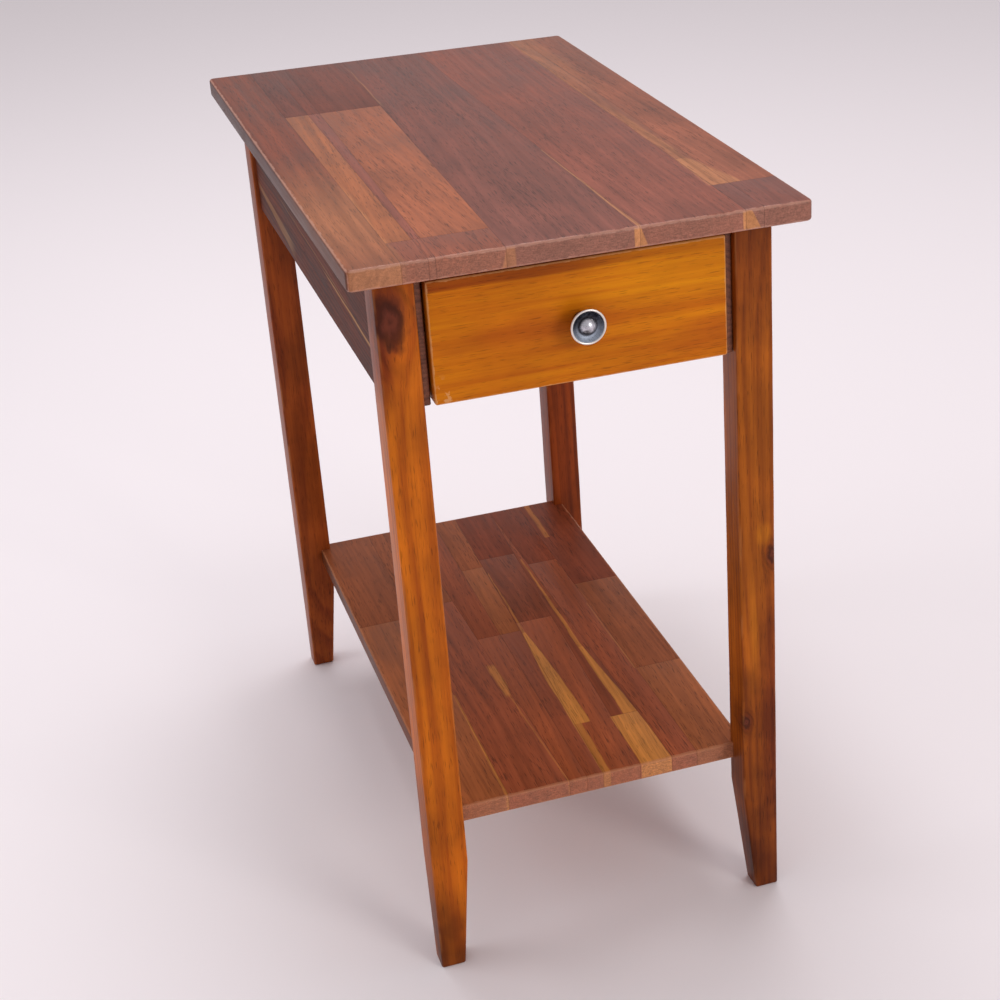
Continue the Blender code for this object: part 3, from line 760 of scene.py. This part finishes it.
def leg_section(side, arris):
    """Points round a square section with round arrises, and how much of an arris each one is."""
    points = []
    for sign_x, sign_y, first in ((1, 1, 0), (-1, 1, 90), (-1, -1, 180), (1, -1, 270)):
        for step in range(ARRIS_STEPS + 1):
            angle = math.radians(first + 90 * step / ARRIS_STEPS)
            x = sign_x * (side / 2 - arris) + arris * math.cos(angle)
            y = sign_y * (side / 2 - arris) + arris * math.sin(angle)
            points.append((x, y, 1.0 - abs(2 * step / ARRIS_STEPS - 1)))
    return points


def leg_levels(top):
    """Heights of a leg's sections from the foot up, and how far each one is drawn in."""
    foot = [(0.0, FOOT_CHAMFER), (FOOT_CHAMFER * 0.35, FOOT_CHAMFER * 0.35), (FOOT_CHAMFER, 0.0)]
    tapered = [KNEE_Z * i / TAPER_STEPS for i in range(1, TAPER_STEPS)]
    square = [KNEE_Z + i * LEG_STEP for i in range(int((top - KNEE_Z) / LEG_STEP))]
    head = [(top - HEAD_CHAMFER, 0.0), (top, HEAD_CHAMFER)]
    return foot + [(z, 0.0) for z in tapered + square] + head


def make_leg(node, material):
    """A square leg lofted up through sections, its inner faces tapering below the knee."""
    low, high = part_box(node)
    outer_x = high.x if high.x > 0 else low.x
    outer_y = high.y if high.y > 0 else low.y
    inward_x, inward_y = -math.copysign(1, outer_x), -math.copysign(1, outer_y)
    full = high.x - low.x
    bm = bmesh.new()
    arris_layer = bm.verts.layers.float.new("arris")
    rings = []
    for z, inset in leg_levels(high.z):
        side = full if z >= KNEE_Z else FOOT_SIDE + (full - FOOT_SIDE) * z / KNEE_Z
        wander = noise.noise(Vector((outer_x, outer_y, z)) * LEG_WANDER_PITCH)
        arris = LEG_ARRIS * (1.0 + LEG_ARRIS_WANDER * wander)
        centre_x, centre_y = outer_x + inward_x * side / 2, outer_y + inward_y * side / 2
        ring = []
        for x, y, share in leg_section(side - 2 * inset, arris):
            vert = bm.verts.new((centre_x + x, centre_y + y, z))
            vert[arris_layer] = share
            ring.append(vert)
        rings.append(ring)
    bm.faces.new(rings[0])
    bm.faces.new(rings[-1])
    skin(bm, rings, len(rings[0]))
    add_piece(node + "_tapered_wood", bm, material, node, "frame")


def arc(centre, radius, first, last, steps):
    """Points of a circular arc in the (radius, height) plane, angles in degrees."""
    angles = [math.radians(first + (last - first) * i / steps) for i in range(steps + 1)]
    return [(centre[0] + radius * math.cos(a), centre[1] + radius * math.sin(a)) for a in angles]


def knob_profile(tall):
    """The knob's outline as (radius, height), from the bottom of its bore round to its top."""
    bore_radius, bore_depth = 0.0023, 0.0100
    dome_radius = 0.00705
    bore = [(0, bore_depth), (bore_radius, bore_depth), (bore_radius, 0)]
    foot = [(0.0070, 0)] + arc((0.0068, 0.0006), 0.0004, -60, 80, 4)
    waist = [(0.0060, 0.0016), (0.0055, 0.0020), (0.0050, 0.0028)]
    waist += arc((0.0098, 0.0062), 0.0053, 205, 128, 8)
    cup = [(0.0084, 0.0110), (0.0104, 0.0118), (0.0118, 0.0128)]
    rim = arc((0.0126, 0.0147), 0.0009, -50, 150, 10)
    dish = [(0.0113, 0.0148), (0.0109, 0.0144), (0.0102, 0.0138), (0.0093, 0.0131)]
    dish += [(0.0084, 0.0127), (0.0075, 0.0125), (0.0070, 0.0125)]
    dome = arc((0, tall - dome_radius), dome_radius, 16, 88, 10) + [(0, tall)]
    return bore + foot + waist + cup + rim + dish + dome


def make_knob(node, material):
    """A turned knob: foot, waist, flared cup with a rolled rim, and a dome in its dish."""
    low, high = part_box(node)
    axis_x, axis_z = (low.x + high.x) / 2, (low.z + high.z) / 2
    bm = bmesh.new()
    rings = []
    for radius, height in knob_profile(high.y - low.y):
        count = KNOB_SIDES if radius > 0 else 1
        angles = [2 * math.pi * i / KNOB_SIDES for i in range(count)]
        y = high.y - height
        places = [(axis_x + radius * math.cos(a), y, axis_z + radius * math.sin(a)) for a in angles]
        rings.append([bm.verts.new(place) for place in places])
    skin(bm, rings, KNOB_SIDES)
    add_piece("pewter_knob", bm, material, node, "drawer")


# ---------------------------------------------------------------- the panels

# Colours of the top's staves
UMBER = srgb(120, 64, 50)
DARK_UMBER = srgb(116, 64, 52)
PLUM = srgb(126, 72, 60)
COCOA = srgb(138, 76, 60)
RUSSET = srgb(150, 87, 64)
HONEY = srgb(162, 94, 56)
SALMON = srgb(160, 90, 58)
CHESTNUT = srgb(126, 62, 40)
RUST = srgb(140, 76, 54)
SAND = srgb(148, 88, 64)

# Strips of a panel: (left edge at the front, at the back, [(far end of a stave, its colour), ...])
TOP_STRIPS = [
    (0.000, 0.000, [(0.588, CHESTNUT)]),
    (0.038, 0.038, [(0.045, RUST), (0.412, HONEY), (0.588, DARK_UMBER)]),
    (0.057, 0.058, [(0.045, RUST), (0.412, COCOA), (0.588, UMBER)]),
    (0.062, 0.070, [(0.045, RUST), (0.412, SALMON), (0.588, UMBER)]),
    (0.1115, 0.125, [(0.588, PLUM)]),
    (0.2085, 0.198, [(0.588, COCOA)]),
    (0.288, 0.288, [(0.065, PLUM), (0.588, SAND)]),
    (0.302, 0.300, [(0.065, PLUM), (0.588, RUSSET)]),
]
# Paler streaks on the panel's upper face, and on its front edge, where they run from the bottom up
TOP_STREAKS = [
    streak(-0.01, 0.210, 0.018, 0.018, 0.023, 0.020, 0.34, 0.004, 0.110),
    streak(-0.01, 0.215, 0.2085, 0.2040, 0.0013, 0.0003, 0.6, 0.0009),
    streak(0.065, 0.140, 0.2985, 0.2935, 0.0125, 0.0045, 0.42, 0.004),
    streak(0.130, 0.300, 0.2935, 0.2925, 0.0045, 0.0035, 0.30, 0.003, 0.060),
    streak(0.300, 0.588, 0.2885, 0.2885, 0.0010, 0.0008, 0.25, 0.001, 0.01),
    streak(0.412, 0.560, 0.1225, 0.1240, 0.0009, 0.0004, 0.30, 0.001, 0.01),
    streak(0.400, 0.700, 0.300, 0.300, 0.012, 0.014, 0.16, 0.008, 0.08),
]
TOP_END_STREAKS = [
    streak(-0.01, 0.0165, 0.2110, 0.2065, 0.0070, 0.0020, 0.95, 0.0010),
    streak(-0.01, 0.0165, 0.2955, 0.2890, 0.0095, 0.0030, 0.95, 0.0010),
    streak(-0.01, 0.0165, 0.1110, 0.1150, 0.0073, 0.0030, 0.45, 0.0020),
    streak(-0.01, 0.0165, 0.0180, 0.0180, 0.0200, 0.0200, 0.40, 0.0012),
]
TOP_LOOK = {
    "streaks": TOP_STREAKS,
    "end_streaks": TOP_END_STREAKS,
    "gold": srgb(208, 142, 92),
    "shade": (0.72, 0.68, 0.66, 1),
    # Painted shade, lighter at the front and darker at the back
    "painted_shade_to_back": (1.08, 0.81),
    "specular": 0.26,
    # Pale arris colour: wear, and a painted highlight along the rounded edges
    "arris_wear_and_highlight_colour": srgb(206, 156, 136),
}

# Colours of the shelf's staves
SHELF_DARK = srgb(154, 78, 46)
SHELF_PLUM = srgb(142, 72, 44)
SHELF_RED = srgb(158, 80, 44)
SHELF_MID = srgb(150, 82, 48)
SHELF_LIGHT = srgb(164, 92, 50)
# Darker brown for the back ends of the right-hand staves: partly their own tone, partly painted shade
# under the top
SHELF_SMOKE_AND_SHADE = srgb(128, 60, 36)

SHELF_STRIPS = [
    (0.000, 0.000, [(0.315, SHELF_LIGHT), (0.499, SHELF_MID)]),
    (0.052, 0.051, [(0.330, SHELF_DARK), (0.499, SHELF_MID)]),
    (0.104, 0.090, [(0.250, SHELF_RED), (0.499, SHELF_DARK)]),
    (0.119, 0.119, [(0.250, SHELF_DARK), (0.385, SHELF_LIGHT), (0.499, SHELF_MID)]),
    (0.133, 0.143, [(0.265, SHELF_RED), (0.400, SHELF_PLUM), (0.499, SHELF_SMOKE_AND_SHADE)]),
    (0.165, 0.180, [(0.078, SHELF_RED), (0.499, SHELF_PLUM)]),
    (0.193, 0.180, [(0.372, SHELF_DARK), (0.499, SHELF_SMOKE_AND_SHADE)]),
    (0.215, 0.211, [(0.145, SHELF_LIGHT), (0.315, SHELF_MID), (0.499, SHELF_SMOKE_AND_SHADE)]),
]
SHELF_STREAKS = [
    streak(-0.01, 0.165, 0.0510, 0.0515, 0.0012, 0.0006, 0.6),
    streak(0.145, 0.200, 0.0950, 0.0950, 0.0030, 0.0040, 0.6, 0.003, 0.004),
    streak(-0.01, 0.145, 0.1035, 0.0965, 0.0006, 0.0006, 0.35),
    streak(-0.01, 0.078, 0.1360, 0.1370, 0.0034, 0.0036, 0.65),
    streak(0.078, 0.160, 0.1410, 0.1405, 0.0075, 0.0065, 0.95),
    streak(0.160, 0.245, 0.1405, 0.1400, 0.0065, 0.0015, 0.9),
    streak(0.245, 0.370, 0.1400, 0.1415, 0.0012, 0.0004, 0.5),
    streak(-0.01, 0.078, 0.1795, 0.1785, 0.0135, 0.0120, 0.9),
    streak(0.078, 0.200, 0.1845, 0.1800, 0.0060, 0.0022, 0.85),
    streak(0.200, 0.385, 0.1800, 0.1800, 0.0020, 0.0005, 0.6),
    streak(0.145, 0.275, 0.2130, 0.2110, 0.0008, 0.0004, 0.35),
    streak(0.420, 0.500, 0.2190, 0.2200, 0.0022, 0.0026, 0.35, 0.002),
]
SHELF_LOOK = {
    "streaks": SHELF_STREAKS,
    "end_streaks": [],
    "gold": srgb(212, 138, 62),
    "shade": (0.70, 0.64, 0.60, 1),
    # Painted shade, lighter at the front and darker at the back
    "painted_shade_to_back": (1.06, 0.88),
    "specular": 0.15,
    # Pale arris colour: wear, and a painted highlight along the rounded edges
    "arris_wear_and_highlight_colour": srgb(186, 126, 92),
}


def make_panels():
    wood = staved_wood("top_wood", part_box("top_panel"), **TOP_LOOK)
    staved_panel("top_of_staves", "top_panel", TOP_STRIPS, wood, TOP_ARRIS, TOP_CORNER)
    wood = staved_wood("shelf_wood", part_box("shelf"), **SHELF_LOOK)
    staved_panel("shelf_of_staves", "shelf", SHELF_STRIPS, wood, SHELF_ARRIS)


# ---------------------------------------------------------------- legs, aprons and drawer

# Woods of the legs: (name, dark colour, light colour)
LEG_WOODS = {
    "leg_front_left": ("amber_leg_wood", srgb(164, 76, 10), srgb(204, 108, 16)),
    "leg_front_right": ("russet_leg_wood", srgb(134, 62, 12), srgb(180, 96, 20)),
    "leg_back_left": ("chestnut_leg_wood", srgb(116, 48, 18), srgb(158, 76, 26)),
    "leg_back_right": ("umber_leg_wood", srgb(98, 38, 12), srgb(140, 60, 18)),
}
# Knots: (from the leg's left, height, half width, half length)
LEG_KNOTS = {
    "leg_front_left": [(0.0100, 0.5590, 0.0125, 0.0210)],
    "leg_front_right": [(0.0030, 0.168, 0.0040, 0.0065), (0.0275, 0.318, 0.0050, 0.0085)],
}
# Patches: (from the leg's left, height, half width, half length, tint, strength)
LEG_PATCHES = {
    "leg_front_left": [
        (0.004, 0.566, 0.026, 0.040, (0.36, 0.27, 0.6, 1), 0.98),
        (0.001, 0.530, 0.017, 0.038, (0.46, 0.33, 0.7, 1), 0.95),
        (0.012, 0.0, 0.040, 0.070, (0.42, 0.38, 0.4, 1), 0.95),
        (0.0, 0.070, 0.012, 0.130, (0.55, 0.48, 0.6, 1), 0.8),
    ],
    "leg_front_right": [
        (0.021, 0.337, 0.009, 0.012, (1.45, 1.75, 1.2, 1), 0.8),
        (0.014, 0.594, 0.040, 0.120, (0.60, 0.52, 0.9, 1), 0.95),
        (0.011, 0.250, 0.006, 0.070, (1.15, 1.35, 1.0, 1), 0.7),
        (0.026, 0.170, 0.012, 0.150, (0.66, 0.50, 0.9, 1), 0.9),
        (0.014, 0.120, 0.040, 0.180, (0.60, 0.52, 0.6, 1), 0.9),
        (0.014, 0.0, 0.050, 0.120, (0.46, 0.38, 0.6, 1), 0.98),
    ],
}


def make_legs():
    for node, look in LEG_WOODS.items():
        knots, patches = LEG_KNOTS.get(node, []), LEG_PATCHES.get(node, [])
        make_leg(node, leg_wood(*look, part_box(node)[0], knots, patches))


def finish_aprons():
    """The aprons' woods. The left one is scratched."""
    ring = 0.0055
    left = plain_wood("left_apron_wood", "Y", srgb(66, 30, 22), srgb(106, 54, 38), ring, 0.3, 0.14, 0.05)
    right = plain_wood("right_apron_wood", "Y", srgb(70, 32, 22), srgb(112, 56, 38), ring, 0.3, 0.14, 0.05)
    back = plain_wood("back_apron_wood", "X", srgb(84, 34, 18), srgb(132, 62, 32), ring, 0.25, 0.2, 0.06)
    scratch_apron(left)
    for node, material in (("apron_left", left), ("apron_right", right), ("apron_back", back)):
        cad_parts[node].data.materials[0] = material


def make_drawer_pieces():
    low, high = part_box("drawer_front")
    front, wood = eased_box(low, high, FRONT_ARRIS), drawer_front_wood(low, high)
    add_piece("drawer_front_board", front, wood, "drawer_front", "drawer")
    low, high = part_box("knob")
    make_knob("knob", pewter_material((low + high) / 2))


def finish_carried_nodes():
    """Materials of the other CAD nodes that stay: strips, blocks, drawer boards, dowels and screws."""
    guide = plain_wood("guide_wood", "Y", srgb(88, 48, 34), srgb(140, 86, 62), 0.005, 0.2, 0.12)
    strip = plain_wood("strip_wood", "Y", srgb(128, 88, 56), srgb(176, 132, 92), 0.005, 0.15, 0.2)
    block = plain_wood("block_wood", "Z", srgb(134, 92, 58), srgb(182, 138, 96), 0.004, 0.15, 0.2)
    peg = plain_wood("dowel_wood", "Y", srgb(186, 148, 104), srgb(216, 184, 140), 0.003, 0.1, 0.2)
    pale = (srgb(156, 112, 66), srgb(202, 160, 106), 0.005, 0.14, 0.06)
    side = plain_wood("drawer_side_wood", "Y", *pale)
    back = plain_wood("drawer_back_wood", "X", *pale)
    rules = [
        (guide, ("drawer_guide",)),
        (strip, ("drawer_runner", "drawer_kicker", "drawer_stop")),
        (block, ("corner_block",)),
        (peg, ("dowel",)),
        (side, ("drawer_side",)),
        (back, ("drawer_bottom", "drawer_back")),
        (steel_material(), ("guide_screw", "top_screw", "knob_screw")),
    ]
    for name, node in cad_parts.items():
        for material, starts in rules:
            if name.startswith(starts):
                node.data.materials[0] = material
                node.data.shade_smooth()
                node.data.set_sharp_from_angle(angle=CARRIED_SHARP_ANGLE)


# ---------------------------------------------------------------- the set

FLOOR_HALF_SIDE = 30.0
# Lights: (name, place, target, size, power, colour)
LIGHTS = [
    ("key", (1.8, -3.6, 1.7), (0, 0, 0.4), 1.5, 45, (1.0, 0.97, 0.93)),
    ("side", (-2.4, 0.6, 2.0), (0, 0, 0.3), 1.8, 16, (0.94, 0.97, 1.0)),
    ("floor_glow", (0.25, 0.9, 3.0), (0.15, 0.7, 0), 1.8, 36, (1.0, 0.98, 1.0)),
]


def make_floor():
    bm = bmesh.new()
    bmesh.ops.create_grid(bm, x_segments=2, y_segments=2, size=FLOOR_HALF_SIDE)
    material, _, shader = new_material("pale_floor", 0.9, 0.05)
    shader.inputs["Base Color"].default_value = (0.90, 0.845, 0.868, 1)
    add_object("floor", mesh_of("floor", bm, material))


def add_light(name, place, target, size, power, colour):
    light = bpy.data.lights.new(name, "AREA")
    light.shape = "DISK"
    light.size = size
    light.energy = power
    light.color = colour
    lamp = add_object(name, light)
    lamp.location = place
    lamp.rotation_euler = (Vector(target) - Vector(place)).to_track_quat("-Z", "Y").to_euler()


def make_set():
    make_floor()
    world = bpy.data.worlds.new("soft_room")
    bpy.context.scene.world = world
    world.use_nodes = True
    sky = world.node_tree.nodes["Background"]
    sky.inputs["Color"].default_value = (1.0, 0.955, 0.975, 1)
    sky.inputs["Strength"].default_value = 0.54
    for light in LIGHTS:
        add_light(*light)
    bpy.context.scene.view_settings.view_transform = "Standard"


def make_camera():
    lens = bpy.data.cameras.new("camera")
    lens.sensor_width = 36.0
    lens.lens = 70.17
    lens.shift_x = -0.10
    camera = add_object("camera", lens)
    camera.location = (-0.3910, -1.5157, 1.0355)
    camera.rotation_euler = (1.1143, 0.0470, -0.3321)
    bpy.context.scene.camera = camera


make_camera()
make_panels()
make_legs()
finish_aprons()
make_drawer_pieces()
finish_carried_nodes()
make_set()
